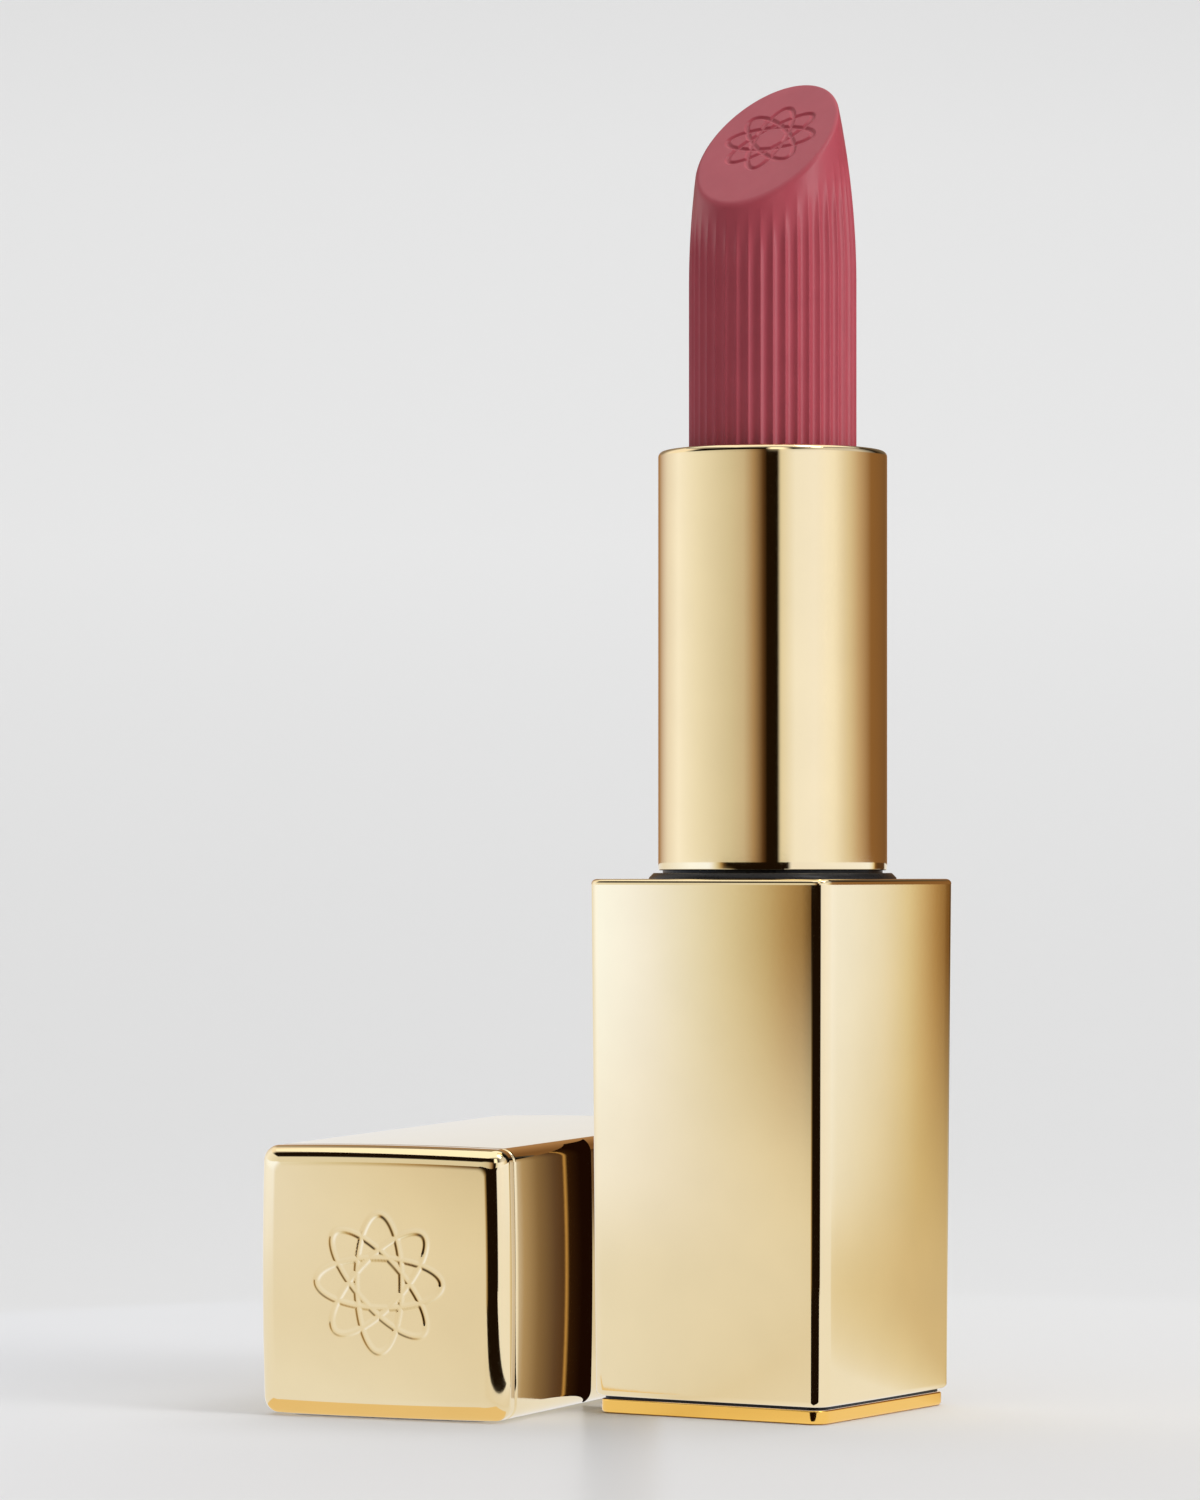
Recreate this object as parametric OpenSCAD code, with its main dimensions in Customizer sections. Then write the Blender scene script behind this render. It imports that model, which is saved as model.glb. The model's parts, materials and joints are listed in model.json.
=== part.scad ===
// Square swivel-up lipstick standing open on its foot, with its cap lying on one side next to it.
// Millimetres, +Z up. The origin is the centre of the case's foot, on the table.

/* [Case] */
// Width of the case across its flats, at the top
case_w = 19.6; // [19.4:0.1:20.4]
// How much narrower the case is at its bottom edge
case_taper = 0.5; // [0:0.1:0.5]
// Height of the case's flat top above the table
case_top = 38.2; // [38:0.1:42]
// Radius of the upright corners
corner_r = 1.1; // [0.6:0.1:1.6]
// Rounding of the outer edges
edge_r = 0.35; // [0.2:0.05:0.5]
// How far the middle of each face stands out between its corners
pillow = 0.12; // [0:0.02:0.12]
// Width of the foot plate
foot_w = 18.5; // [18:0.1:19]
// Height of the foot plate
foot_h = 1.02; // [0.8:0.02:1.1]
// Height of the black line between the foot plate and the shell
reveal_h = 0.24; // [0.16:0.02:0.4]

/* [Mechanism] */
// Diameter of the lipstick bullet
bullet_d = 12.1; // [11.6:0.1:12.1]
// Height of the bullet's tip when it is turned right up
bullet_top = 96.2; // [94:0.1:96.4]
// Slope of the cut face at the tip, from horizontal
tip_slope = 44; // [38:1:50]
// Diameter of the round metal sleeve
sleeve_d = 16.5; // [16.5:0.05:16.6]
// Height of the sleeve's rim above the table
sleeve_top = 69; // [69:0.1:70]
// How far the bullet travels
travel = 27.5; // [26.5:0.1:27.5]
// Turns of the sleeve that move the bullet all the way
turns = 1.5; // [1:0.25:2]

/* [Cap] */
// Length of the cap from its closed face to its mouth
cap_len = 41; // [40:0.5:46]
// Thickness of the end plate at the closed face
plate_h = 2.1; // [2:0.1:2.4]
// Fine groove between the end plate and the cap's shell
parting_h = 0.12; // [0.06:0.02:0.2]
// Place of the closed face's centre across the table
cap_x = -19.5; // [-40:0.1:-19.5]
// Place of the closed face's centre along the table
cap_y = -21.9; // [-30:0.1:-10]
// Direction in which the cap's mouth points, from +X
cap_turn = 98.6; // [90:0.1:140]

/* [Hidden] */
$fn = 96;
eps = 0.01;

gold = "goldenrod";
black = [0.08, 0.08, 0.09];

// Case: what stands inside the shell, from the foot upwards
case_bottom = foot_h + reveal_h;
case_bottom_w = case_w - case_taper;
cavity_w = 17.9;
lid_h = 0.8;
liner_w = cavity_w - 0.1;
liner_top = case_top - lid_h - 0.05;
reveal_w = foot_w - 0.4;
weight_r = 7.8;
weight_top = 14.5;
socket_floor = 16;
label_r = 5.5;
label_h = 0.12;
magnet_r = 1.2;
magnet_h = 2;
magnet_spread = 7.5;

// Round collar that stands out of the case's top
collar_r = 8.93;
collar_top_r = 8.6;
collar_top = case_top + 0.43;
collar_chamfer = 0.35;
collar_spigot_r = 8.4;
collar_spigot_h = 2.4;

// Mechanism: nested tubes, from the sleeve inwards
sleeve_r = sleeve_d / 2;
sleeve_bottom = collar_top + 0.19;
sleeve_wall = 0.32;
sleeve_rim_r = 0.3;
sleeve_mouth_r = 7;
cam_r = sleeve_r - sleeve_wall;
cam_bore_r = cam_r - 0.66;
groove_r = cam_r - 0.3;
guide_r = cam_bore_r - 0.07;
guide_bore_r = guide_r - 0.52;
cup_r = guide_bore_r - 0.06;
bullet_r = bullet_d / 2;
socket_r = cam_r + 0.12;
base_top = 22;
flange_top = base_top + 1.4;
cam_bottom = flange_top + 0.1;
cam_top = sleeve_top - 1.6;
guide_lip_r = cam_bore_r + 0.33;
guide_lip_h = 0.5;
brake_z = flange_top + 1.7;
brake_h = 1;

// The cup's lugs run in the guide's straight slots and in the cam's two helical grooves
lug_r = 0.95;
lug_z = 56.5;
lug_reach = groove_r - 0.12;
slot_w = 2 * lug_r + 0.2;
groove_h = 2.6;
groove_step = 15;
cup_bottom = lug_z - 2.5;
cup_floor = 1;
cup_h = 12;

// Bullet: straight up to the shoulder, then an ogive, cut by the sloping face
shoulder_z = bullet_top - 15.2;
ogive_rate = 0.0078;
tip_z = bullet_top - 4.2;

// Cap, in its own frame: closed face at 0, mouth at cap_len, axis +Z
cap_w = case_w - case_taper;
cap_cavity_w = 18;
cap_edge_r = 1.4;
cap_liner_w = cap_cavity_w - 0.1;
cap_weight_h = 4.2;
cap_weight_z = plate_h + 1.2;
cap_liner_z = cap_weight_z + cap_weight_h + 0.1;
cap_bore_r = sleeve_r + 0.2;
cap_bore_z = cap_liner_z + 2;
cap_liner_top = cap_len - 0.6;
cap_seal_r = cap_bore_r + 0.4;
cap_seal_h = 0.8;
cap_lean = atan(case_taper / 2 / cap_len);

// A flat square with rounded corners
module rounded_square(w, r) {
    square_w = w - 2 * r;
    translate([-square_w / 2, -w / 2]) square([square_w, w]);
    translate([-w / 2, -square_w / 2]) square([w, square_w]);
    for (x = [-1, 1], y = [-1, 1]) translate([x * square_w / 2, y * square_w / 2]) circle(r);
}

// The four slightly crowned sides of a square, as one outline
module crowned_square(w, crown) {
    steps = 8;
    flat = w - 2 * corner_r;
    polygon([for (side = [0:3], i = [0:steps])
        let (
            u = 2 * i / steps - 1,
            x = w / 2 + crown * (1 - u * u),
            y = u * flat / 2,
            turn = 90 * side
        )
        [x * cos(turn) - y * sin(turn), x * sin(turn) + y * cos(turn)]]);
}

// A thin square slice for a hull, at height z
module slice(w, z, crown) {
    translate([0, 0, z]) linear_extrude(eps) {
        rounded_square(w, corner_r, $fn = 32);
        crowned_square(w, crown);
    }
}

// A square post that tapers from w_low to w_high, its two end edges rounded by r_low and r_high
module square_post(w_low, w_high, z_low, z_high, r_low, r_high, crown = pillow) {
    steps = 4;
    hull() {
        for (i = [0:steps]) {
            a = 90 * i / steps;
            slice(w_low - 2 * r_low * (1 - sin(a)), z_low + r_low * (1 - cos(a)), crown);
            slice(w_high - 2 * r_high * (1 - sin(a)), z_high - r_high * (1 - cos(a)) - eps, crown);
        }
    }
}

// A tube about the Z axis
module tube(r_out, r_in, z_low, z_high) {
    translate([0, 0, z_low]) difference() {
        cylinder(r = r_out, h = z_high - z_low);
        translate([0, 0, -1]) cylinder(r = r_in, h = z_high - z_low + 2);
    }
}

// Four discs in the corners of the case or the cap
module corner_discs(r, z, h) {
    for (x = [-1, 1], y = [-1, 1])
        translate([x * magnet_spread, y * magnet_spread, z]) cylinder(r = r, h = h);
}

// Lays the cap down on one of its flat sides
module lying() {
    translate([cap_x, cap_y, cap_w / 2 + pillow])
        rotate([0, 0, cap_turn])
            rotate([0, 90 - cap_lean, 0])
                rotate([0, 0, 180])
                    children();
}

module case_shell() {
    color(gold) difference() {
        square_post(case_bottom_w, case_w, case_bottom, case_top, edge_r, edge_r);
        translate([0, 0, case_bottom - 1])
            linear_extrude(case_top - lid_h - case_bottom + 1) rounded_square(cavity_w, corner_r / 2);
        translate([0, 0, case_top - lid_h - 1]) cylinder(r = collar_r + 0.05, h = lid_h + 2);
    }
}

module foot_plate() {
    color(gold) difference() {
        square_post(foot_w, foot_w, 0, foot_h, 0.3, 0.1, 0);
        translate([0, 0, -1]) cylinder(r = label_r, h = label_h + 1);
    }
}

module shade_label() {
    color("white") cylinder(r = label_r, h = label_h);
}

module case_liner() {
    color(black) difference() {
        union() {
            translate([0, 0, foot_h]) linear_extrude(reveal_h) rounded_square(reveal_w, corner_r);
            translate([0, 0, foot_h]) linear_extrude(liner_top - foot_h) rounded_square(liner_w, corner_r / 2);
        }
        translate([0, 0, foot_h - 1]) cylinder(r = weight_r + 0.05, h = weight_top + 1.1 - foot_h);
        translate([0, 0, socket_floor]) cylinder(r = socket_r, h = case_top);
        translate([0, 0, liner_top - collar_spigot_h]) cylinder(r = collar_spigot_r, h = case_top);
        corner_discs(magnet_r, liner_top - magnet_h, magnet_h + 1);
    }
}

module base_weight() {
    color("slategray") translate([0, 0, foot_h]) cylinder(r = weight_r, h = weight_top - foot_h);
}

module collar() {
    color(black) rotate_extrude() polygon([
        [socket_r, liner_top - collar_spigot_h],
        [collar_spigot_r, liner_top - collar_spigot_h],
        [collar_spigot_r, liner_top],
        [collar_r, liner_top],
        [collar_r, collar_top - collar_chamfer],
        [collar_top_r, collar_top],
        [socket_r, collar_top]
    ]);
}

module case_magnets() {
    color("silver") corner_discs(magnet_r, liner_top - magnet_h, magnet_h);
}

module guide_base() {
    color(black) difference() {
        translate([0, 0, socket_floor]) cylinder(r = socket_r, h = base_top - socket_floor);
        translate([0, 0, socket_floor + 1]) cylinder(r = socket_r - 1.2, h = base_top - socket_floor);
    }
}

module guide_tube() {
    color("ivory") difference() {
        union() {
            translate([0, 0, base_top]) cylinder(r = cam_r, h = flange_top - base_top);
            translate([0, 0, base_top]) cylinder(r = guide_r, h = cam_top + 0.2 - base_top);
            translate([0, 0, cam_top + 0.15]) cylinder(r = guide_lip_r, h = guide_lip_h);
        }
        translate([0, 0, flange_top]) cylinder(r = guide_bore_r, h = sleeve_top);
        tube(guide_r + 1, guide_r - 0.25, brake_z, brake_z + brake_h);
        for (side = [0, 180]) rotate([0, 0, side])
            translate([guide_bore_r - 1, -slot_w / 2, lug_z - travel - slot_w / 2])
                cube([3, slot_w, travel + slot_w]);
    }
}

module brake_ring() {
    color("dimgray") tube(guide_r + 0.05, guide_r - 0.25, brake_z, brake_z + brake_h);
}

// One helical groove, cut by a row of short straight blocks that lie along the lug's path
module cam_groove() {
    steps = ceil(360 * turns / groove_step);
    pitch_angle = atan(travel / (turns * 2 * PI * cam_bore_r));
    block_l = 2 * PI * groove_r * groove_step / 360 / cos(pitch_angle) + 0.3;
    for (i = [0:steps])
        translate([0, 0, lug_z - travel * i / steps])
            rotate([0, 0, -360 * turns * i / steps])
                translate([cam_bore_r - 0.5, 0, 0])
                    rotate([pitch_angle, 0, 0])
                        translate([0, -block_l / 2, -groove_h / 2])
                            cube([groove_r - cam_bore_r + 0.5, block_l, groove_h]);
}

module cam_tube() {
    color(black) difference() {
        tube(cam_r, cam_bore_r, cam_bottom, cam_top);
        for (side = [0, 180]) rotate([0, 0, side]) cam_groove();
    }
}

module sleeve() {
    rim_steps = 6;
    rim = [for (i = [0:rim_steps]) let (a = 90 * i / rim_steps)
        [sleeve_r - sleeve_rim_r * (1 - cos(a)), sleeve_top - sleeve_rim_r * (1 - sin(a))]];
    color(gold) rotate_extrude() polygon(concat(
        [[cam_r, sleeve_bottom], [sleeve_r, sleeve_bottom]],
        rim,
        [[sleeve_mouth_r, sleeve_top], [sleeve_mouth_r, sleeve_top - 0.55], [cam_r, sleeve_top - 0.55]]
    ));
}

module bullet_cup() {
    color("ivory") difference() {
        union() {
            translate([0, 0, cup_bottom]) cylinder(r = cup_r, h = cup_h);
            for (side = [0, 180]) rotate([0, 0, side])
                translate([cup_r - 0.3, 0, lug_z]) rotate([0, 90, 0]) cylinder(r = lug_r, h = lug_reach - cup_r + 0.3);
        }
        translate([0, 0, cup_bottom + cup_floor]) cylinder(r = bullet_r, h = cup_h);
    }
}

module bullet() {
    steps = 10;
    ogive = [for (i = [0:steps]) let (h = (bullet_top - shoulder_z) * i / steps)
        [bullet_r - ogive_rate * h * h, shoulder_z + h]];
    color([0.66, 0.3, 0.36]) difference() {
        rotate_extrude() polygon(concat(
            [[0, cup_bottom + cup_floor], [bullet_r, cup_bottom + cup_floor]], ogive, [[0, bullet_top]]
        ));
        translate([0, 0, tip_z]) rotate([tip_slope, 0, 0]) translate([-10, -15, 0]) cube([20, 30, 20]);
    }
}

module cap_shell() {
    color(gold) lying() difference() {
        square_post(cap_w, case_w, plate_h + parting_h, cap_len, 0.25, edge_r);
        translate([0, 0, -1]) linear_extrude(cap_len + 2) rounded_square(cap_cavity_w, corner_r / 2);
    }
}

module cap_end_plate() {
    color(gold) lying() {
        square_post(cap_w, cap_w, 0, plate_h, cap_edge_r, 0.15);
        translate([0, 0, plate_h - eps])
            linear_extrude(cap_weight_z - plate_h) rounded_square(cap_liner_w, corner_r / 2);
    }
}

module cap_weight() {
    color("slategray") lying() translate([0, 0, cap_weight_z])
        linear_extrude(cap_weight_h) rounded_square(cap_liner_w - 0.4, corner_r);
}

module cap_liner() {
    color(black) lying() difference() {
        translate([0, 0, cap_liner_z])
            linear_extrude(cap_liner_top - cap_liner_z) rounded_square(cap_liner_w, corner_r / 2);
        translate([0, 0, cap_bore_z]) cylinder(r = cap_bore_r, h = cap_len);
        translate([0, 0, cap_liner_top - cap_seal_h]) cylinder(r = cap_seal_r, h = cap_len);
        corner_discs(magnet_r, cap_liner_top - magnet_h, magnet_h + 1);
    }
}

module cap_seal() {
    color("dimgray") lying() tube(cap_seal_r, cap_bore_r, cap_liner_top - cap_seal_h, cap_liner_top);
}

module cap_magnets() {
    color("silver") lying() corner_discs(magnet_r, cap_liner_top - magnet_h, magnet_h);
}

case_shell();
foot_plate();
shade_label();
case_liner();
base_weight();
collar();
case_magnets();
guide_base();
guide_tube();
brake_ring();
cam_tube();
sleeve();
bullet_cup();
bullet();
cap_shell();
cap_end_plate();
cap_weight();
cap_liner();
cap_seal();
cap_magnets();
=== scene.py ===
import json
import math

import bmesh
import bpy
from mathutils import Matrix, Vector
from mathutils.kdtree import KDTree


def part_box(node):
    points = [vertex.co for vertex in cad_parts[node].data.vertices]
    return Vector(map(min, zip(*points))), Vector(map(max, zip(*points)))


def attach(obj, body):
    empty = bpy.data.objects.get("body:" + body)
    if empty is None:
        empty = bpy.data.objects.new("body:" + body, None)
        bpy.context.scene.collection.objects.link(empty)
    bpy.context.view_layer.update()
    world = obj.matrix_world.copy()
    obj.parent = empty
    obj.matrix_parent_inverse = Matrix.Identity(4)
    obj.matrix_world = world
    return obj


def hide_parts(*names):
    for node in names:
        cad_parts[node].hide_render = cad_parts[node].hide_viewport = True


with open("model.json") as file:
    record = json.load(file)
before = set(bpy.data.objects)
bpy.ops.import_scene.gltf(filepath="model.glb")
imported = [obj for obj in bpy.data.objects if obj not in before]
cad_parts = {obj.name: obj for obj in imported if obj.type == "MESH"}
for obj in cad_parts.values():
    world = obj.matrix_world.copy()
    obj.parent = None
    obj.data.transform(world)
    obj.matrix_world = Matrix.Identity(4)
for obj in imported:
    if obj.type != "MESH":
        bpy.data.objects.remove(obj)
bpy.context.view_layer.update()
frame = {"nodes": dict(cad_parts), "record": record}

MM = 0.001

# The case, from its CAD nodes
shell_lo, shell_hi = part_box("case_shell")
foot_lo, foot_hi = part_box("foot_plate")
collar_lo, collar_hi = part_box("collar")
sleeve_lo, sleeve_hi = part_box("sleeve")
bullet_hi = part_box("bullet")[1]
cup_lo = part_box("bullet_cup")[0]

CROWN = 0.12 * MM       # how far the middle of a side stands out
CORNER_R = 1.1 * MM     # upright corners of case and cap
EDGE_R = 0.35 * MM      # edges at the shell's two ends
TAPER = 0.5 * MM        # how much wider the case is at its top than at its foot
TOP_W = shell_hi.x - shell_lo.x - 2 * CROWN
BOTTOM_W = TOP_W - TAPER
FOOT_W = foot_hi.x - foot_lo.x
SLEEVE_R = sleeve_hi.x
BULLET_R = 6.05 * MM
COLLAR_R = collar_hi.x
CAVITY_W = 17.9 * MM
CAVITY_CORNER_R = 0.55 * MM

# The cap, in its own frame: closed face at 0, mouth at CAP_L, axis +Z.
# Its length and place keep it a hair inside the CAD's box.
CAP_L = 40.96 * MM
CAP_W = BOTTOM_W
CAP_CAVITY_W = 18 * MM
PLATE_H = 2.1 * MM
PLATE_EDGE_R = 1.4 * MM
PARTING = 0.12 * MM
CAP_PLACE = Vector((-19.495, -21.88, 0)) * MM + Vector((0, 0, CAP_W / 2 + CROWN))
CAP_TURN = math.radians(98.6)
CAP_LEAN = math.atan(TAPER / 2 / CAP_L)
LYING = (
    Matrix.Translation(CAP_PLACE)
    @ Matrix.Rotation(CAP_TURN, 4, "Z")
    @ Matrix.Rotation(math.pi / 2 - CAP_LEAN, 4, "Y")
    @ Matrix.Rotation(math.pi, 4, "Z")
)

# The camera, from the photo's perspective
CAMERA_AZIMUTH = math.radians(31.59)
CAMERA_DISTANCE = 403.7 * MM
CAMERA_HEIGHT = 38.93 * MM
CAMERA_ASIDE = 12.45 * MM
CAMERA_LENS = 134.35
CAMERA_RISE = 0.0792
TOWARD_CAMERA = Vector((math.sin(CAMERA_AZIMUTH), -math.cos(CAMERA_AZIMUTH), 0))
CAMERA_RIGHT = Vector((math.cos(CAMERA_AZIMUTH), math.sin(CAMERA_AZIMUTH), 0))


# ---- mesh helpers ----------------------------------------------------------

SIDE_STEPS = 24         # points along one side of a square ring
CORNER_STEPS = 10       # points round one of its corners
LOW_SHRINK = 0.35       # how fast the corners tighten over a post's lower edge
HIGH_SHRINK = 0.6       # and over its upper edge


def new_object(name, bm, materials, matrix=None):
    """A smooth-shaded mesh object from a bmesh, with its materials."""
    if matrix is not None:
        bmesh.ops.transform(bm, matrix=matrix, verts=bm.verts)
    mesh = bpy.data.meshes.new(name)
    bm.to_mesh(mesh)
    bm.free()
    obj = bpy.data.objects.new(name, mesh)
    bpy.context.collection.objects.link(obj)
    for polygon in mesh.polygons:
        polygon.use_smooth = True
    for material in materials:
        mesh.materials.append(material)
    return obj


def weigh_normals(obj):
    """Large flat faces keep their own normal, so that only the rounded edges bend a reflection."""
    modifier = obj.modifiers.new("normals", "WEIGHTED_NORMAL")
    modifier.weight = 50
    modifier.keep_sharp = True


def square_ring(width, crown, z, corner=CORNER_R, fine=1):
    """Points round a square with rounded corners and slightly crowned sides; fine multiplies them."""
    side_steps = SIDE_STEPS * fine
    corner_steps = CORNER_STEPS * fine
    points = []
    flat = width - 2 * corner
    for side in range(4):
        turn = Matrix.Rotation(math.pi / 2 * side, 3, "Z")
        for i in range(side_steps):
            u = 2 * i / side_steps - 1
            x = width / 2 + crown * (1 - u * u)
            points.append(turn @ Vector((x, u * flat / 2, z)))
        centre = Vector((width / 2 - corner, flat / 2, z))
        for i in range(corner_steps):
            a = math.pi / 2 * i / corner_steps
            points.append(turn @ (centre + corner * Vector((math.cos(a), math.sin(a), 0))))
    return points


def round_ring(radius, z, count):
    """Points round a circle."""
    angles = [math.tau * i / count for i in range(count)]
    return [Vector((radius * math.cos(a), radius * math.sin(a), z)) for a in angles]


def bridge(bm, rings, close_first=False, close_last=False):
    """Joins rings of equal length with quads. Returns the rings' vertices."""
    made = [[bm.verts.new(p) for p in ring] for ring in rings]
    for low, high in zip(made, made[1:]):
        n = len(low)
        for i in range(n):
            bm.faces.new((low[i], low[(i + 1) % n], high[(i + 1) % n], high[i]))
    if close_first:
        bm.faces.new(list(reversed(made[0])))
    if close_last:
        bm.faces.new(made[-1])
    return made


def lathe(profile, count):
    """A closed surface of revolution from (radius, height) points."""
    bm = bmesh.new()
    rings = [round_ring(r, z, count) for r, z in profile]
    made = bridge(bm, rings)
    first, last = made[0], made[-1]
    for i in range(count):
        bm.faces.new((last[i], last[(i + 1) % count], first[(i + 1) % count], first[i]))
    bmesh.ops.recalc_face_normals(bm, faces=bm.faces)
    return bm


def arc(centre_r, centre_z, radius, from_deg, to_deg, steps):
    """Points of a (radius, height) profile along an arc."""
    angles = [math.radians(from_deg + (to_deg - from_deg) * i / steps) for i in range(steps + 1)]
    return [(centre_r + radius * math.cos(a), centre_z + radius * math.sin(a)) for a in angles]


def towards_radius(ring, radius, z):
    """A ring's points moved onto a circle at another height, each along its own direction."""
    return [Vector((p.x, p.y, 0)).normalized() * radius + Vector((0, 0, z)) for p in ring]


def post_rings(w_low, w_high, z_low, z_high, r_low, r_high, crown=CROWN, levels=24, steps=8, fine=1):
    """Rings of a tapered square post with both end edges rounded."""

    def edge_ring(width, z_end, radius, i, inwards, shrink):
        """Ring i of a rounded edge, counted from the end face at z_end."""
        a = math.pi / 2 * i / steps
        inset = radius * (1 - math.sin(a))
        z = z_end + inwards * radius * (1 - math.cos(a))
        return square_ring(width - 2 * inset, crown, z, CORNER_R - shrink * inset, fine)

    near_ends = 0.002
    rings = [edge_ring(w_low, z_low, r_low, i, 1, LOW_SHRINK) for i in range(steps + 1)]
    for t in [near_ends] + [i / levels for i in range(1, levels)] + [1 - near_ends]:
        z = z_low + r_low + (z_high - r_high - z_low - r_low) * t
        rings.append(square_ring(w_low + (w_high - w_low) * t, crown, z, CORNER_R, fine))
    rings += [edge_ring(w_high, z_high, r_high, i, -1, HIGH_SHRINK) for i in range(steps, -1, -1)]
    return rings


# ---- the emblem ------------------------------------------------------------

EMBLEM_LOOPS = 4        # ovals in the rosette
EMBLEM_STEPS = 260      # points along each oval
OVAL_WIDTH = 0.36       # width of an oval over its length
LIP_REACH = 1.4         # how far a line's soft lip reaches, in half line widths
LIP_SHARE = 0.25        # share of the depth that is left where the lip starts


def emblem_points(radius):
    """A plain rosette of interlaced ovals, as points on a flat plane."""
    points = []
    for loop in range(EMBLEM_LOOPS):
        turn = Matrix.Rotation(math.pi * loop / EMBLEM_LOOPS, 2)
        for i in range(EMBLEM_STEPS):
            a = math.tau * i / EMBLEM_STEPS
            x, y = turn @ Vector((radius * math.cos(a), OVAL_WIDTH * radius * math.sin(a)))
            points.append(Vector((x, y, 0)))
    return points


def emblem_tree(radius):
    """A search tree of the rosette's points."""
    points = emblem_points(radius)
    tree = KDTree(len(points))
    for index, point in enumerate(points):
        tree.insert(point, index)
    tree.balance()
    return tree


def engraved(point, tree, line_w, depth):
    """How deep the rosette's round-bottomed line is cut at a point of its plane."""
    distance = tree.find(point)[2] / (line_w / 2)
    if distance >= LIP_REACH:
        return 0.0
    if distance <= 1.0:
        return depth * (1 - (1 - LIP_SHARE) * distance * distance)
    rest = (LIP_REACH - distance) / (LIP_REACH - 1)
    return depth * LIP_SHARE * rest * rest


# ---- materials -------------------------------------------------------------

def node_material(name):
    """A fresh node material: returns the material, its node tree and the Principled shader."""
    material = bpy.data.materials.new(name)
    material.use_nodes = True
    tree = material.node_tree
    return material, tree, tree.nodes["Principled BSDF"]


def add_noise(tree, scale, detail, stretch=(1, 1, 1)):
    """Object-space noise: scale counts its features in a metre."""
    place = tree.nodes.new("ShaderNodeTexCoord")
    mapping = tree.nodes.new("ShaderNodeMapping")
    mapping.inputs["Scale"].default_value = stretch
    noise = tree.nodes.new("ShaderNodeTexNoise")
    noise.inputs["Scale"].default_value = scale
    noise.inputs["Detail"].default_value = detail
    tree.links.new(place.outputs["Object"], mapping.inputs["Vector"])
    tree.links.new(mapping.outputs["Vector"], noise.inputs["Vector"])
    return noise


def vary_roughness(tree, shader, source, low, high):
    """Lets a 0 to 1 value move the roughness between low and high."""
    node = tree.nodes.new("ShaderNodeMapRange")
    node.inputs["To Min"].default_value = low
    node.inputs["To Max"].default_value = high
    tree.links.new(source, node.inputs["Value"])
    tree.links.new(node.outputs["Result"], shader.inputs["Roughness"])


def colour_ramp(tree, source, stops):
    """A colour ramp from (position, colour) pairs."""
    node = tree.nodes.new("ShaderNodeValToRGB")
    ramp = node.color_ramp
    ramp.elements[0].position, ramp.elements[0].color = stops[0][0], (*stops[0][1], 1)
    ramp.elements[1].position, ramp.elements[1].color = stops[-1][0], (*stops[-1][1], 1)
    for position, colour in stops[1:-1]:
        ramp.elements.new(position).color = (*colour, 1)
    tree.links.new(source, node.inputs["Fac"])
    return node.outputs["Color"]


def add_bump(tree, shader, height, strength, distance):
    """Joins a height to the shader's normal."""
    bump = tree.nodes.new("ShaderNodeBump")
    bump.inputs["Strength"].default_value = strength
    bump.inputs["Distance"].default_value = distance
    tree.links.new(height, bump.inputs["Height"])
    tree.links.new(bump.outputs["Normal"], shader.inputs["Normal"])


def gold_material(name, colour, roughness):
    """Polished gold-tone metal: faint cloudiness in the lacquer and a very fine grain."""
    material, tree, shader = node_material(name)
    cloud = add_noise(tree, 220, 4)
    darker = tuple(c * 0.97 for c in colour)
    tint = colour_ramp(tree, cloud.outputs["Fac"], [(0.3, darker), (0.7, colour)])
    tree.links.new(tint, shader.inputs["Base Color"])
    shader.inputs["Metallic"].default_value = 1.0
    grain = add_noise(tree, 2600, 2)
    vary_roughness(tree, shader, grain.outputs["Fac"], roughness * 0.8, roughness * 1.2)
    add_bump(tree, shader, grain.outputs["Fac"], 0.02, 0.02 * MM)
    return material


def plastic_material(name, colour, roughness):
    """Moulded plastic with a fine spark-eroded grain."""
    material, tree, shader = node_material(name)
    grain = add_noise(tree, 4200, 3)
    lighter = tuple(min(1.0, c * 1.15 + 0.002) for c in colour)
    tint = colour_ramp(tree, grain.outputs["Fac"], [(0.35, colour), (0.7, lighter)])
    tree.links.new(tint, shader.inputs["Base Color"])
    vary_roughness(tree, shader, grain.outputs["Fac"], roughness * 0.85, roughness * 1.2)
    shader.inputs["Specular IOR Level"].default_value = 0.15
    add_bump(tree, shader, grain.outputs["Fac"], 0.15, 0.01 * MM)
    return material


def steel_material(name, colour, roughness):
    """Turned steel with fine lines round its axis."""
    material, tree, shader = node_material(name)
    lines = add_noise(tree, 900, 3, (0.15, 0.15, 3))
    darker = tuple(c * 0.85 for c in colour)
    tint = colour_ramp(tree, lines.outputs["Fac"], [(0.3, darker), (0.7, colour)])
    tree.links.new(tint, shader.inputs["Base Color"])
    shader.inputs["Metallic"].default_value = 1.0
    vary_roughness(tree, shader, lines.outputs["Fac"], roughness * 0.8, roughness * 1.3)
    return material


def paper_material():
    """The blank label: coated paper with faint fibres."""
    material, tree, shader = node_material("label_paper")
    fibres = add_noise(tree, 3000, 5)
    tint = colour_ramp(tree, fibres.outputs["Fac"], [
        (0.3, (0.80, 0.80, 0.79)), (0.7, (0.90, 0.90, 0.89)),
    ])
    tree.links.new(tint, shader.inputs["Base Color"])
    shader.inputs["Roughness"].default_value = 0.6
    add_bump(tree, shader, fibres.outputs["Fac"], 0.2, 0.01 * MM)
    return material


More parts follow.
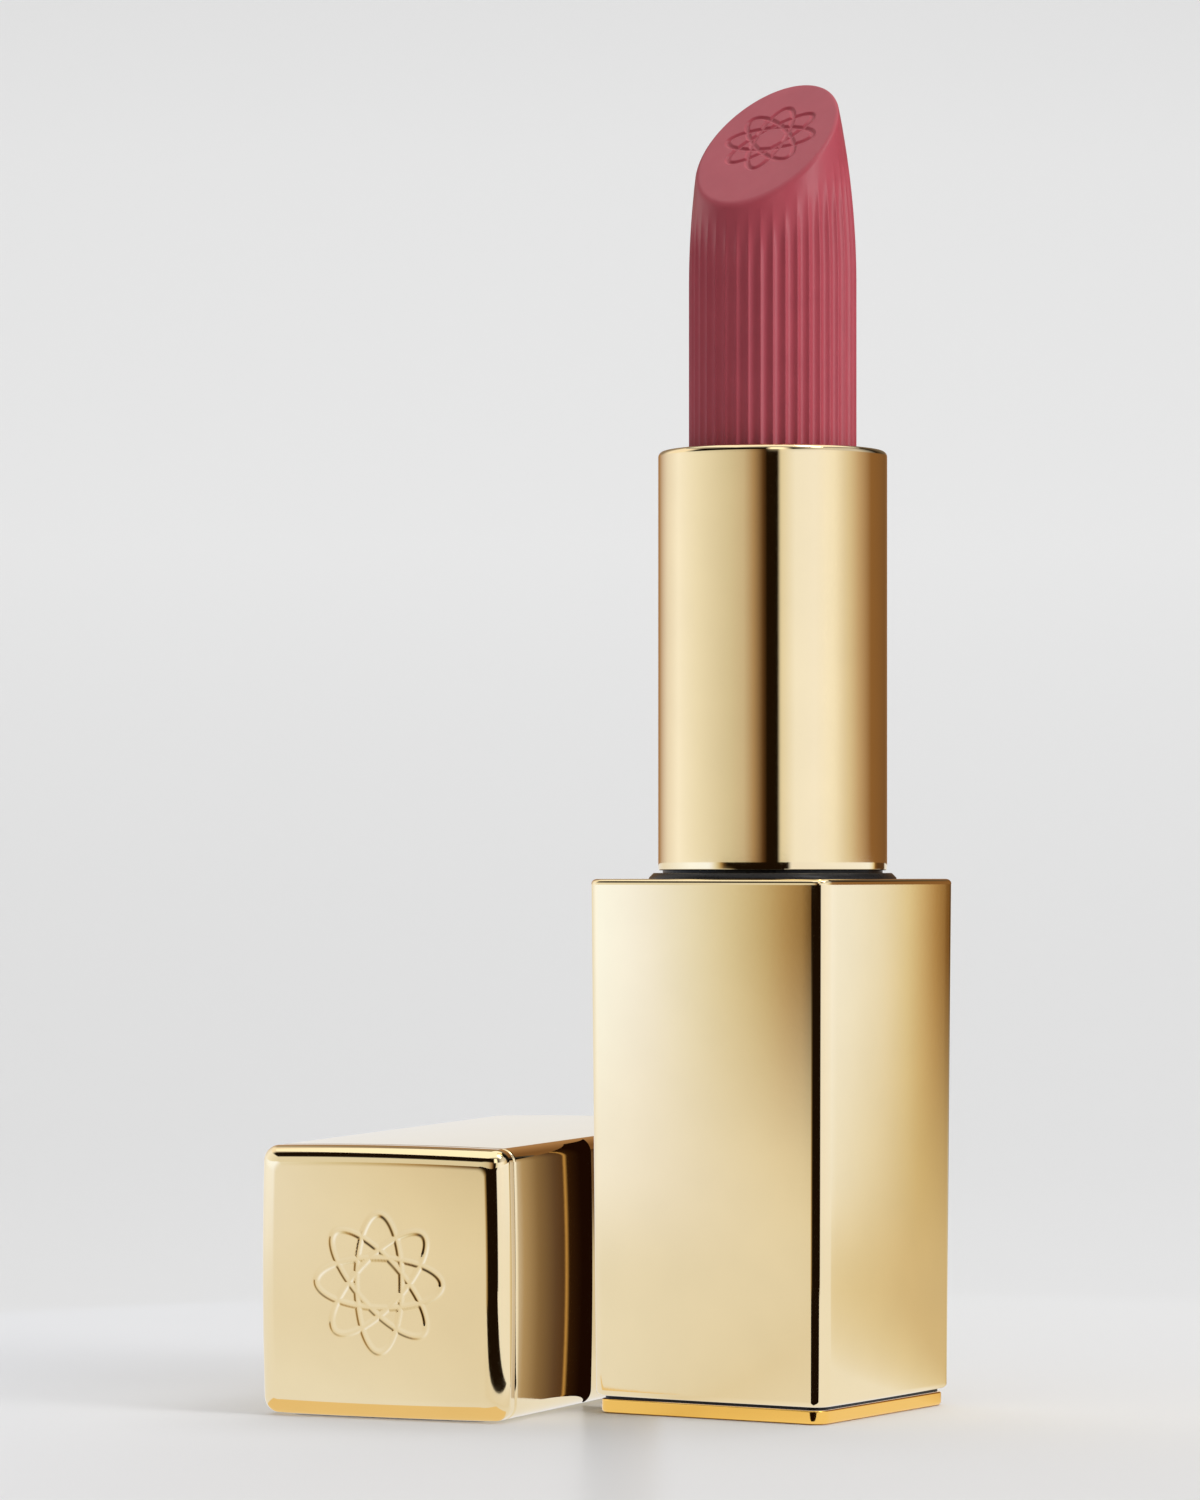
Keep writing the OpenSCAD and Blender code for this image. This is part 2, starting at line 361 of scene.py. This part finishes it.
def lipstick_material():
    """Satin rose wax: creamy, with soft mottling, a little light under its skin and fine mould marks."""
    material, tree, shader = node_material("lipstick_wax")
    mottle = add_noise(tree, 350, 4)
    tint = colour_ramp(tree, mottle.outputs["Fac"], [
        (0.25, (0.395, 0.057, 0.080)), (0.75, (0.44, 0.067, 0.092)),
    ])
    tree.links.new(tint, shader.inputs["Base Color"])
    streaks = add_noise(tree, 1400, 3, (1, 1, 0.12))
    vary_roughness(tree, shader, streaks.outputs["Fac"], 0.30, 0.44)
    shader.inputs["Subsurface Weight"].default_value = 0.04
    shader.inputs["Subsurface Radius"].default_value = (1.0, 0.35, 0.3)
    shader.inputs["Subsurface Scale"].default_value = 0.25 * MM
    shader.inputs["Specular IOR Level"].default_value = 0.27
    shader.inputs["Coat Weight"].default_value = 0.05
    shader.inputs["Coat Roughness"].default_value = 0.2
    add_bump(tree, shader, streaks.outputs["Fac"], 0.12, 0.03 * MM)
    return material


GOLD = gold_material("gold_lacquered", (0.955, 0.775, 0.455), 0.055)
# Painted reflection: a deeper, more orange copy of the gold for the foot, standing in for light bounced
# between the floor and the gold
GOLD_PAINTED_BOUNCE = gold_material("gold_painted_bounce", (0.99, 0.58, 0.125), 0.08)
BLACK = plastic_material("black_plastic", (0.012, 0.011, 0.011), 0.28)
WHITE = plastic_material("natural_plastic", (0.80, 0.78, 0.72), 0.4)
RUBBER = plastic_material("soft_ring", (0.03, 0.03, 0.032), 0.6)
STEEL = steel_material("turned_steel", (0.56, 0.57, 0.58), 0.3)
NICKEL = steel_material("nickel_plate", (0.72, 0.72, 0.73), 0.18)
PAPER = paper_material()
LIPSTICK = lipstick_material()

# The CAD's own meshes are kept for these parts, and only painted
CAD_PARTS = {
    "case_liner": BLACK, "base_weight": STEEL, "case_magnets": NICKEL, "shade_label": PAPER,
    "guide_base": BLACK, "guide_tube": WHITE, "brake_ring": RUBBER,
    "cam_tube": BLACK, "bullet_cup": WHITE,
    "cap_liner": BLACK, "cap_weight": STEEL, "cap_seal": RUBBER, "cap_magnets": NICKEL,
}


def paint(node, material):
    """Gives a CAD node its material."""
    obj = frame["nodes"][node]
    if not obj.material_slots:
        obj.data.materials.append(material)
    for material_slot in obj.material_slots:
        material_slot.material = material


# ---- the case --------------------------------------------------------------

def make_shell():
    """The tall square shell: outer skin, flat top with a round opening, and the inside wall."""
    bm = bmesh.new()
    rings = post_rings(BOTTOM_W, TOP_W, shell_lo.z, shell_hi.z, EDGE_R, EDGE_R)
    for inside_h in (0.05 * MM, 8 * MM):
        rings.insert(0, square_ring(CAVITY_W, 0, shell_lo.z + inside_h, CAVITY_CORNER_R))
    last = rings[-1]
    opening = COLLAR_R + 0.05 * MM
    for wider, deep in [(0.12 * MM, 0), (0, 0.1 * MM), (0, 0.8 * MM)]:
        rings.append(towards_radius(last, opening + wider, shell_hi.z - deep))
    bridge(bm, rings)
    bmesh.ops.recalc_face_normals(bm, faces=bm.faces)
    shell = new_object("shell", bm, [GOLD])
    weigh_normals(shell)
    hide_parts("case_shell")
    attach(shell, "case")
    return shell


def make_foot():
    """The thin inset plate that the case stands on."""
    bm = bmesh.new()
    rings = post_rings(FOOT_W, FOOT_W, foot_lo.z, foot_hi.z, 0.28 * MM, 0.12 * MM, 0, 3)
    recess_r = 5.55 * MM
    first = rings[0]
    for deep in (0, 0.12 * MM):
        rings.insert(0, towards_radius(first, recess_r, foot_lo.z + deep))
    bridge(bm, rings, close_first=True, close_last=True)
    bmesh.ops.recalc_face_normals(bm, faces=bm.faces)
    # The foot's deeper gold is a painted reflection of light bounced up from the floor
    foot = new_object("foot", bm, [GOLD_PAINTED_BOUNCE])
    weigh_normals(foot)
    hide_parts("foot_plate")
    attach(foot, "case")
    return foot


def make_collar():
    """The low black ring round the sleeve, with a chamfer and softened edges."""
    top, low = collar_hi.z, collar_lo.z
    inner = 8.05 * MM
    neck = 8.4 * MM
    seat = shell_hi.z - 0.85 * MM
    soft = 0.06 * MM
    profile = [(inner, low), (neck, low), (neck, seat), (COLLAR_R, seat)]
    profile += [(COLLAR_R, top - 0.40 * MM), (COLLAR_R - 0.02 * MM, top - 0.33 * MM)]
    profile += [(8.62 * MM, top - 0.03 * MM), (8.57 * MM, top)]
    profile += [(inner + soft, top), (inner, top - soft)]
    collar = new_object("collar_ring", lathe(profile, 192), [BLACK])
    weigh_normals(collar)
    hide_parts("collar")
    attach(collar, "case")


def make_sleeve():
    """The round metal sleeve: a small rolled bead at its foot, and a rim that curls inwards."""
    low, top = sleeve_lo.z, sleeve_hi.z
    wall = 0.32 * MM
    rim = 0.42 * MM
    bead = 0.12 * MM
    curl = 0.15 * MM
    curl_low = top - 0.55 * MM
    profile = [(SLEEVE_R - wall, low + bead)]
    profile += arc(SLEEVE_R - bead, low + bead, bead, -90, 0, 6)
    profile += [(SLEEVE_R, low + 0.6 * MM), (SLEEVE_R, top - rim - 0.4 * MM)]
    profile += arc(SLEEVE_R - rim, top - rim, rim, 0, 90, 12)
    profile += arc(7.15 * MM, top - curl, curl, 90, 180, 5)
    profile += [(7.0 * MM, curl_low), (SLEEVE_R - wall, curl_low)]
    sleeve = new_object("gold_sleeve", lathe(profile, 256), [GOLD])
    weigh_normals(sleeve)
    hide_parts("sleeve")
    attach(sleeve, "turning_sleeve")


# ---- the bullet ------------------------------------------------------------

FLUTES = 42
FLUTE_DEPTH = 0.24 * MM
FLUTE_FADE = 4.5 * MM       # height over which the flutes fade out
SHOULDER_H = 15.2 * MM      # where the ogive starts, under the tip
SHOULDER_CURVE = 0.0078     # and how fast it draws in, per square millimetre
TIP_SLOPE = math.radians(44)
TIP_Z = bullet_hi.z - 4.2 * MM
CUT_NORMAL = Vector((0, -math.sin(TIP_SLOPE), math.cos(TIP_SLOPE)))
CUT_CENTRE = Vector((0, 0, TIP_Z)) + Vector((0, -0.35, -0.35 * math.tan(TIP_SLOPE))) * MM
CUT_TURN = Matrix.Rotation(-TIP_SLOPE, 3, "X")
RIM_R = 0.27 * MM


def flute_depth(z, angle):
    """How deep the flutes are: they fade out over the shoulder, sooner under the cut face."""
    front = 0.5 - 0.5 * math.sin(angle)
    fade_top = bullet_hi.z - (1.2 + 9.0 * front) * MM
    fade = max(0.0, min(1.0, (fade_top - z) / FLUTE_FADE))
    return FLUTE_DEPTH * fade * fade * (3 - 2 * fade)


def bullet_radius(z):
    """Straight shank, then an ogive."""
    h = max(0.0, (z - (bullet_hi.z - SHOULDER_H)) / MM)
    return BULLET_R - SHOULDER_CURVE * h * h * MM


def bullet_point(angle, z):
    """A point of the fluted bullet before it is cut: hollow flutes between sharp crests."""
    across = 2 * ((FLUTES * angle / math.tau) % 1.0) - 1
    radius = bullet_radius(z) - flute_depth(z, angle) * (1 - across * across)
    return Vector((radius * math.cos(angle), radius * math.sin(angle), z))


def cut_height(angle):
    """Height at which the cut face meets the bullet's side."""
    z = TIP_Z
    for _ in range(30):
        y = bullet_radius(z) * math.sin(angle)
        z = 0.5 * z + 0.5 * (TIP_Z + y * math.tan(TIP_SLOPE))
    return z


def cut_face_drop(point, tree):
    """How far the engraved rosette lies under the cut face's plane."""
    local = CUT_TURN @ (point - CUT_CENTRE)
    return engraved(Vector((local.x, local.y, 0)), tree, 0.36 * MM, 0.14 * MM)


def make_bullet():
    """The lipstick: a fluted bullet with a sloping cut face, a soft rim round it and a rosette on it."""
    bm = bmesh.new()
    around = FLUTES * 12
    levels = 110
    rim_steps = 10
    face_rings = 110
    low = cup_lo.z + 1 * MM
    angles = [math.tau * i / around for i in range(around)]
    edges = [bullet_point(angle, cut_height(angle)) for angle in angles]
    rim_r = [RIM_R * (1.3 - 0.3 * math.sin(angle)) for angle in angles]
    starts = [bullet_point(angle, cut_height(angle) - r) for angle, r in zip(angles, rim_r)]
    ends = [edge + r * (CUT_CENTRE - edge).normalized() for edge, r in zip(edges, rim_r)]
    rings = []
    for level in range(levels + 1):
        t = level / levels
        rings.append([
            bullet_point(angle, low + (start.z - low) * t) for angle, start in zip(angles, starts)
        ])
    for step in range(1, rim_steps + 1):
        t = step / rim_steps
        rings.append([
            (1 - t) ** 2 * start + 2 * t * (1 - t) * edge + t * t * end
            for start, edge, end in zip(starts, edges, ends)
        ])
    tree = emblem_tree(3.5 * MM)
    for step in range(1, face_rings):
        t = step / face_rings
        flat = [end.lerp(CUT_CENTRE, t) for end in ends]
        rings.append([p - CUT_NORMAL * cut_face_drop(p, tree) for p in flat])
    made = bridge(bm, rings, close_first=True)
    tip = bm.verts.new(CUT_CENTRE - CUT_NORMAL * cut_face_drop(CUT_CENTRE, tree))
    last = made[-1]
    for i in range(around):
        bm.faces.new((last[i], last[(i + 1) % around], tip))
    bmesh.ops.recalc_face_normals(bm, faces=bm.faces)
    bullet = new_object("lipstick_bullet", bm, [LIPSTICK])
    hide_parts("bullet")
    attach(bullet, "bullet_carrier")


# ---- the cap ---------------------------------------------------------------

def make_cap_shell():
    """The cap's long square shell, open at the mouth."""
    bm = bmesh.new()
    rings = post_rings(CAP_W, TOP_W, PLATE_H + PARTING, CAP_L, 0.25 * MM, EDGE_R)
    rings.append(square_ring(CAP_CAVITY_W + 0.2 * MM, 0, CAP_L, 0.6 * MM))
    for inside_z in (CAP_L - 0.1 * MM, PLATE_H + PARTING + 0.05 * MM):
        rings.append(square_ring(CAP_CAVITY_W, 0, inside_z, CAVITY_CORNER_R))
    rings.append([p.copy() for p in rings[0]])
    bridge(bm, rings)
    bmesh.ops.remove_doubles(bm, verts=bm.verts, dist=0.002 * MM)
    bmesh.ops.recalc_face_normals(bm, faces=bm.faces)
    shell = new_object("cap_body", bm, [GOLD], LYING)
    weigh_normals(shell)
    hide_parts("cap_shell")
    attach(shell, "cap")
    return shell


def make_cap_plate():
    """The cap's end plate: broadly rounded edges, and a rosette engraved in its face."""
    bm = bmesh.new()
    rings = post_rings(CAP_W, CAP_W, 0, PLATE_H, PLATE_EDGE_R, 0.12 * MM, CROWN, 3, 16, fine=5)
    tree = emblem_tree(4.9 * MM)
    face_rings = 110
    outline = rings[0]
    for step in range(1, face_rings + 1):
        t = 1 - step / (face_rings + 1)
        ring = []
        for p in outline:
            flat = Vector((p.x * t, p.y * t, 0))
            ring.append(flat + Vector((0, 0, p.z + engraved(flat, tree, 0.42 * MM, 0.036 * MM))))
        rings.insert(0, ring)
    bridge(bm, rings, close_first=True, close_last=True)
    bmesh.ops.recalc_face_normals(bm, faces=bm.faces)
    plate = new_object("cap_end", bm, [GOLD], LYING)
    weigh_normals(plate)
    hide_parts("cap_end_plate")
    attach(plate, "cap")
    return plate


for node, material in CAD_PARTS.items():
    paint(node, material)
make_collar()
make_sleeve()
make_bullet()
# Case and cap don't mirror each other: what the gold mirrors is painted reflection on the studio's cards
for piece in (make_shell(), make_foot(), make_cap_shell(), make_cap_plate()):
    piece.visible_glossy = False
for body in ("case", "cap"):
    for node in frame["record"]["behaviour"]["bodies"][body]:
        frame["nodes"][node].visible_glossy = False


# ---- studio ----------------------------------------------------------------

SURROUND_R = 110 * MM
BAND_EDGE = 38.9 * MM       # height where the case's surround ends and the sleeve's starts
ROOF_Z = 160 * MM
RING_STEPS = 180
UP = Vector((0, 0, 1))

DARK = (0.010, 0.005, 0.002)
NEUTRAL = (0.84, 0.84, 0.84)

# Painted reflections, with painted highlights and dark bands: what the gold mirrors, by direction:
# degrees as in direction(), and the colour there
SLEEVE_LIGHT = [
    (-180, (0.40, 0.22, 0.10)), (-158, (0.40, 0.23, 0.10)), (-130, (0.84, 0.82, 0.84)),
    (-108, (1.00, 1.05, 1.20)), (-79, (0.88, 0.90, 0.93)), (-44, (0.70, 0.68, 0.62)),
    (-30, (0.62, 0.56, 0.48)), (-20, (0.42, 0.30, 0.19)), (-11, (0.10, 0.05, 0.02)),
    (-7, (0.012, 0.006, 0.002)), (3, (0.010, 0.005, 0.002)), (6, (0.80, 0.78, 0.72)),
    (20, (0.95, 1.00, 1.15)), (40, (0.97, 1.02, 1.20)), (60, (0.90, 0.92, 0.98)),
    (78, (0.74, 0.68, 0.58)), (92, (0.55, 0.42, 0.30)), (112, (0.27, 0.14, 0.055)),
    (150, (0.20, 0.10, 0.04)), (180, (0.40, 0.22, 0.10)),
]
CASE_LIGHT = [
    (-180, NEUTRAL), (-140, NEUTRAL), (-90, (1.05, 1.20, 1.60)), (-67, (1.03, 1.20, 1.65)),
    (-64, (0.97, 1.08, 1.45)), (-61, (0.87, 0.93, 1.05)), (-58, (0.75, 0.74, 0.67)),
    (-55, (0.58, 0.50, 0.34)), (-53, (0.42, 0.28, 0.13)), (-50, (0.09, 0.05, 0.02)), (-46, DARK),
    (13, DARK), (16, (0.92, 0.95, 1.10)), (108, (0.99, 1.08, 1.35)), (111, (0.93, 1.00, 1.18)),
    (114, (0.88, 0.90, 0.94)), (117, (0.76, 0.69, 0.50)), (119, (0.53, 0.35, 0.16)),
    (121, (0.20, 0.10, 0.03)), (126, (0.10, 0.05, 0.02)), (145, (0.10, 0.05, 0.02)), (150, NEUTRAL),
    (180, NEUTRAL),
]
GROUND_LIGHT = [
    (-180, NEUTRAL), (-100, (0.86, 0.90, 1.02)), (-67, (0.85, 0.88, 0.96)),
    (-55, (0.81, 0.81, 0.82)), (-48, (0.79, 0.77, 0.74)), (-44, (0.45, 0.32, 0.16)), (-38, DARK),
    (13, DARK), (16, (0.90, 0.93, 1.04)), (98, (0.90, 0.93, 1.02)), (106, (0.83, 0.81, 0.76)),
    (112, (0.77, 0.71, 0.57)), (117, (0.69, 0.59, 0.42)), (125, (0.62, 0.52, 0.36)), (160, NEUTRAL),
    (180, NEUTRAL),
]
CASE_LOW_LIGHT = [
    (-180, NEUTRAL), (-100, (0.95, 1.02, 1.25)), (-67, (0.93, 1.00, 1.25)),
    (-60, (0.85, 0.88, 1.00)), (-54, (0.86, 0.86, 0.85)), (-48, (0.82, 0.78, 0.68)),
    (-44, (0.45, 0.31, 0.15)), (-38, DARK), (13, DARK), (16, (0.92, 0.95, 1.10)),
    (108, (0.93, 0.99, 1.15)), (113, (0.81, 0.79, 0.73)), (118, (0.66, 0.56, 0.36)),
    (123, (0.58, 0.47, 0.30)), (131, (0.80, 0.79, 0.82)), (136.0, (0.78, 0.77, 0.79)),
    (136.8, (0.44, 0.34, 0.22)), (138, (0.14, 0.08, 0.04)), (146, (0.10, 0.05, 0.02)),
    (152, NEUTRAL), (180, NEUTRAL),
]
UPPER_LIGHT = [
    (-180, (0.30, 0.24, 0.18)), (-150, (0.30, 0.24, 0.18)), (-130, (1.00, 0.96, 0.92)),
    (-100, (1.00, 0.96, 0.92)), (-85, DARK), (-8, DARK), (-3, (1.40, 1.35, 1.30)),
    (8, (1.40, 1.35, 1.30)), (18, DARK), (45, (0.65, 0.65, 0.70)), (95, (0.65, 0.65, 0.70)),
    (125, DARK), (180, (0.30, 0.24, 0.18)),
]


def glow_material(name, colour=(1, 1, 1)):
    """A glow on the side that the faces look to: returns the material, its tree and the glow node."""
    material = bpy.data.materials.new(name)
    material.use_nodes = True
    tree = material.node_tree
    tree.nodes.clear()
    glow = tree.nodes.new("ShaderNodeEmission")
    glow.inputs["Color"].default_value = (*colour, 1)
    clear = tree.nodes.new("ShaderNodeBsdfTransparent")
    side = tree.nodes.new("ShaderNodeNewGeometry")
    choose = tree.nodes.new("ShaderNodeMixShader")
    out = tree.nodes.new("ShaderNodeOutputMaterial")
    tree.links.new(side.outputs["Backfacing"], choose.inputs["Fac"])
    tree.links.new(glow.outputs["Emission"], choose.inputs[1])
    tree.links.new(clear.outputs["BSDF"], choose.inputs[2])
    tree.links.new(choose.outputs["Shader"], out.inputs["Surface"])
    return material, tree, glow


def object_axes(tree):
    """The place on the object, as a node with X, Y and Z outputs."""
    place = tree.nodes.new("ShaderNodeTexCoord")
    split = tree.nodes.new("ShaderNodeSeparateXYZ")
    tree.links.new(place.outputs["Object"], split.inputs["Vector"])
    return split


def direction(degrees):
    """A level direction, in degrees round the object from the camera, positive to its right."""
    a = math.radians(degrees)
    return TOWARD_CAMERA * math.cos(a) + CAMERA_RIGHT * math.sin(a)


def face_up(bm):
    """Turns all the faces of a flat card upwards."""
    bm.normal_update()
    if bm.faces[:][0].normal.z < 0:
        bmesh.ops.reverse_faces(bm, faces=bm.faces)


def only_in_reflections(obj):
    """A card that shows only in glossy reflections, and neither lights nor shades anything."""
    obj.visible_camera = False
    obj.visible_diffuse = False
    obj.visible_transmission = False
    obj.visible_volume_scatter = False
    obj.visible_shadow = False


def make_floor():
    """A pale floor that curves gently up into a backdrop, with painted shade: its grey is a little
    darker at both ends.
    """
    bm = bmesh.new()
    reach = 3.0
    start = 0.3
    bend_r = 2.2
    profile = [(-reach, 0.0), (start, 0.0)]
    for degrees in range(2, 81, 2):
        a = math.radians(degrees)
        profile.append((start + bend_r * math.sin(a), bend_r - bend_r * math.cos(a)))
    rows = []
    for distance, height in profile:
        rows.append([
            bm.verts.new(-TOWARD_CAMERA * distance + CAMERA_RIGHT * side * reach + UP * height)
            for side in (-1, 1)
        ])
    for near, far in zip(rows, rows[1:]):
        bm.faces.new((near[0], near[1], far[1], far[0]))
    material, tree, shader = node_material("floor_painted_shade")
    # Painted shade: grey by height, darker on the flat floor and towards the top of the backdrop
    shade_greys = [(0.0, 0.715), (0.12, 0.82), (0.26, 0.82), (0.42, 0.75)]
    tint = colour_ramp(tree, object_axes(tree).outputs["Z"], [(z, (grey,) * 3) for z, grey in shade_greys])
    tree.links.new(tint, shader.inputs["Base Color"])
    shader.inputs["Roughness"].default_value = 0.32
    shader.inputs["Specular IOR Level"].default_value = 0.06
    floor = new_object("floor", bm, [material])


def direction_ramp(tree, angle, stops):
    """A ramp from (degrees, colour) pairs; angle goes from 0 to 1 over the full turn."""
    return colour_ramp(tree, angle, [((degrees + 180) / 360, colour) for degrees, colour in stops])


def band_material(name, levels):
    """A glowing band whose colour depends on the direction round the object, and on the height.

    levels are (from height, to height, direction stops): each fades in over the ones before it.
    """
    material, tree, glow = glow_material(name)
    place = tree.nodes.new("ShaderNodeTexCoord")
    turned = tree.nodes.new("ShaderNodeVectorRotate")
    turned.rotation_type = "Z_AXIS"
    turned.inputs["Angle"].default_value = math.pi / 2 - CAMERA_AZIMUTH
    tree.links.new(place.outputs["Object"], turned.inputs["Vector"])
    split = tree.nodes.new("ShaderNodeSeparateXYZ")
    tree.links.new(turned.outputs["Vector"], split.inputs["Vector"])
    angle = tree.nodes.new("ShaderNodeMath")
    angle.operation = "ARCTAN2"
    tree.links.new(split.outputs["Y"], angle.inputs[0])
    tree.links.new(split.outputs["X"], angle.inputs[1])
    spread = tree.nodes.new("ShaderNodeMapRange")
    spread.inputs["From Min"].default_value = -math.pi
    spread.inputs["From Max"].default_value = math.pi
    tree.links.new(angle.outputs["Value"], spread.inputs["Value"])
    colour = None
    for from_height, to_height, stops in levels:
        level = direction_ramp(tree, spread.outputs["Result"], stops)
        if colour is None:
            colour = level
            continue
        height = tree.nodes.new("ShaderNodeMapRange")
        height.interpolation_type = "SMOOTHSTEP"
        height.inputs["From Min"].default_value = from_height
        height.inputs["From Max"].default_value = to_height
        tree.links.new(split.outputs["Z"], height.inputs["Value"])
        blend = tree.nodes.new("ShaderNodeMix")
        blend.data_type = "RGBA"
        tree.links.new(height.outputs["Result"], blend.inputs["Factor"])
        tree.links.new(colour, blend.inputs["A"])
        tree.links.new(level, blend.inputs["B"])
        colour = blend.outputs["Result"]
    tree.links.new(colour, glow.inputs["Color"])
    return material


def make_band(name, z_low, z_high, material):
    """One upright ring of the surround, facing inwards."""
    bm = bmesh.new()
    bridge(bm, [round_ring(SURROUND_R, z, RING_STEPS) for z in (z_high, z_low)])
    band = new_object(name, bm, [material])
    only_in_reflections(band)


def make_ground_card():
    """The pale ground round the case, as the gold mirrors it: a painted reflection, without its dark
    part.
    """
    bm = bmesh.new()
    height = 0.1 * MM
    bridge(bm, [round_ring(radius, height, RING_STEPS) for radius in (SURROUND_R, 1 * MM)])
    face_up(bm)
    dark_from, dark_to = -47, 15
    stops = [stop for stop in GROUND_LIGHT if not dark_from < stop[0] < dark_to]
    card = new_object("ground_card", bm, [band_material("ground_glow", [(0, 0, stops)])])
    only_in_reflections(card)


def make_cap_ground_card():
    """A warm card on the floor close to the cap's end, which only its rounded lower edge mirrors: a
    painted reflection that gives that edge its deep gold.
    """
    bm = bmesh.new()
    across = CAP_W / 2 + 0.8 * MM
    reach = 1.5 * MM
    turn = Matrix.Rotation(CAP_TURN - math.pi / 2, 3, "Z")
    ground = Vector((CAP_PLACE.x, CAP_PLACE.y, 0.12 * MM))
    corners = [(-across, reach), (across, reach), (across, -reach), (-across, -reach)]
    bm.faces.new([bm.verts.new(ground + turn @ Vector((x, y, 0))) for x, y in corners])
    face_up(bm)
    material = glow_material("cap_ground_card", (0.83, 0.65, 0.36))[0]
    card = new_object("cap_ground_card", bm, [material])
    only_in_reflections(card)


def make_dark_fan(name, apex, height):
    """A dark card on the floor, seen only from above, that widens from its apex towards the camera: a
    painted dark reflection low on the case.
    """
    bm = bmesh.new()
    corners = [Vector((apex[0], apex[1], height))]
    corners += [corners[0] + SURROUND_R * direction(degrees) for degrees in range(-50, 13, 4)]
    bm.faces.new([bm.verts.new(p) for p in corners])
    bm.normal_update()
    fan = new_object(name, bm, [glow_material(name, DARK)[0]])
    only_in_reflections(fan)


def make_corridor_card():
    """What the cap's side mirrors beside the case, as a painted reflection: pale, then dark brown with a
    thin painted glint.
    """
    bm = bmesh.new()
    corners = [(-13, -5, 0.05), (-5, -5, 0.05), (-5, -5, 21), (-13, -5, 21)]
    bm.faces.new([bm.verts.new(Vector(corner) * MM) for corner in corners])
    material, tree, glow = glow_material("corridor_card")
    across = tree.nodes.new("ShaderNodeMapRange")
    across.inputs["From Min"].default_value = -6 * MM
    across.inputs["From Max"].default_value = -12 * MM
    tree.links.new(object_axes(tree).outputs["X"], across.inputs["Value"])
    # Painted reflection across the card, with a painted glint at 0.705
    colour = colour_ramp(tree, across.outputs["Result"], [
        (0.02, (0.78, 0.77, 0.80)), (0.17, (0.45, 0.34, 0.21)), (0.36, (0.24, 0.16, 0.085)),
        (0.57, (0.12, 0.07, 0.04)), (0.68, (0.09, 0.045, 0.02)), (0.705, (0.55, 0.32, 0.10)),
        (0.74, (0.03, 0.012, 0.004)), (0.9, (0.01, 0.003, 0.001)),
    ])
    tree.links.new(colour, glow.inputs["Color"])
    card = new_object("corridor_card", bm, [material])
    only_in_reflections(card)


def make_roof():
    """A dark sector overhead at the front left, which draws the dark lines along the upper edges as
    painted dark reflections.
    """
    bm = bmesh.new()
    rows = []
    for degrees in range(-140, -14, 5):
        way = direction(degrees)
        rows.append([bm.verts.new(way * r + UP * ROOF_Z) for r in (14 * MM, SURROUND_R)])
    for near, far in zip(rows, rows[1:]):
        bm.faces.new((near[0], near[1], far[1], far[0]))
    roof = new_object("roof_card", bm, [glow_material("roof_card", DARK)[0]])
    only_in_reflections(roof)


def make_lights():
    """One broad light overhead, a key and a small edge light from the right, and one on the backdrop."""

    def area(name, place, size, power):
        data = bpy.data.lights.new(name, "AREA")
        data.shape = "RECTANGLE"
        data.size, data.size_y = size
        data.energy = power
        light = bpy.data.objects.new(name, data)
        bpy.context.collection.objects.link(light)
        light.location = place
        aim = Vector((0, 0, 0.05)) - Vector(place)
        light.rotation_euler = aim.to_track_quat("-Z", "Y").to_euler()
        light.visible_camera = False
        return light

    right = CAMERA_RIGHT
    near = TOWARD_CAMERA
    area("top_light", UP * 1.1 - near * 0.1, (1.4, 1.4), 4.7)
    area("key_light", right * 0.75 + near * 0.45 + UP * 0.35, (0.35, 0.7), 4.2)
    area("edge_light", right * 0.32 + near * 0.18 + UP * 0.75, (0.14, 0.3), 0.9)
    backdrop_light = area("backdrop_light", -near * 1.1 + UP * 2.0, (2.6, 1.2), 19.5)
    backdrop_light.rotation_euler = (-near * 0.7 - UP * 1.7).to_track_quat("-Z", "Y").to_euler()
    backdrop_light.visible_glossy = False


def make_world():
    """An even, pale surround."""
    world = bpy.data.worlds.new("studio")
    world.use_nodes = True
    background = world.node_tree.nodes["Background"]
    background.inputs["Color"].default_value = (0.9, 0.9, 0.9, 1)
    background.inputs["Strength"].default_value = 0.42
    bpy.context.scene.world = world


def make_camera():
    """The photo's view: level, looking in at the case's front corner, shifted up."""
    data = bpy.data.cameras.new("camera")
    data.lens = CAMERA_LENS
    data.sensor_width = 36
    data.shift_y = CAMERA_RISE
    data.clip_start = 0.01
    data.clip_end = 20
    camera = bpy.data.objects.new("camera", data)
    bpy.context.collection.objects.link(camera)
    camera.location = TOWARD_CAMERA * CAMERA_DISTANCE - CAMERA_RIGHT * CAMERA_ASIDE + UP * CAMERA_HEIGHT
    camera.rotation_euler = (math.pi / 2, 0, CAMERA_AZIMUTH)
    bpy.context.scene.camera = camera


make_floor()
# The surround rings glow only in reflections: painted reflections and highlights on the gold and the wax
make_band("case_surround", 0.1 * MM, BAND_EDGE, band_material("case_glow", [
    (0, 0, GROUND_LIGHT),
    (0, 12 * MM, CASE_LOW_LIGHT),
    (3 * MM, 34 * MM, CASE_LIGHT),
]))
make_band("sleeve_surround", BAND_EDGE, ROOF_Z, band_material("sleeve_glow", [
    (0, 0, SLEEVE_LIGHT),
    (79 * MM, 92 * MM, UPPER_LIGHT),
]))
make_ground_card()
make_cap_ground_card()
make_dark_fan("case_floor_card", (shell_hi.x - 1.4 * MM, shell_lo.y), 0.15 * MM)
make_corridor_card()
make_roof()
make_lights()
make_world()
make_camera()
bpy.context.scene.view_settings.view_transform = "Standard"
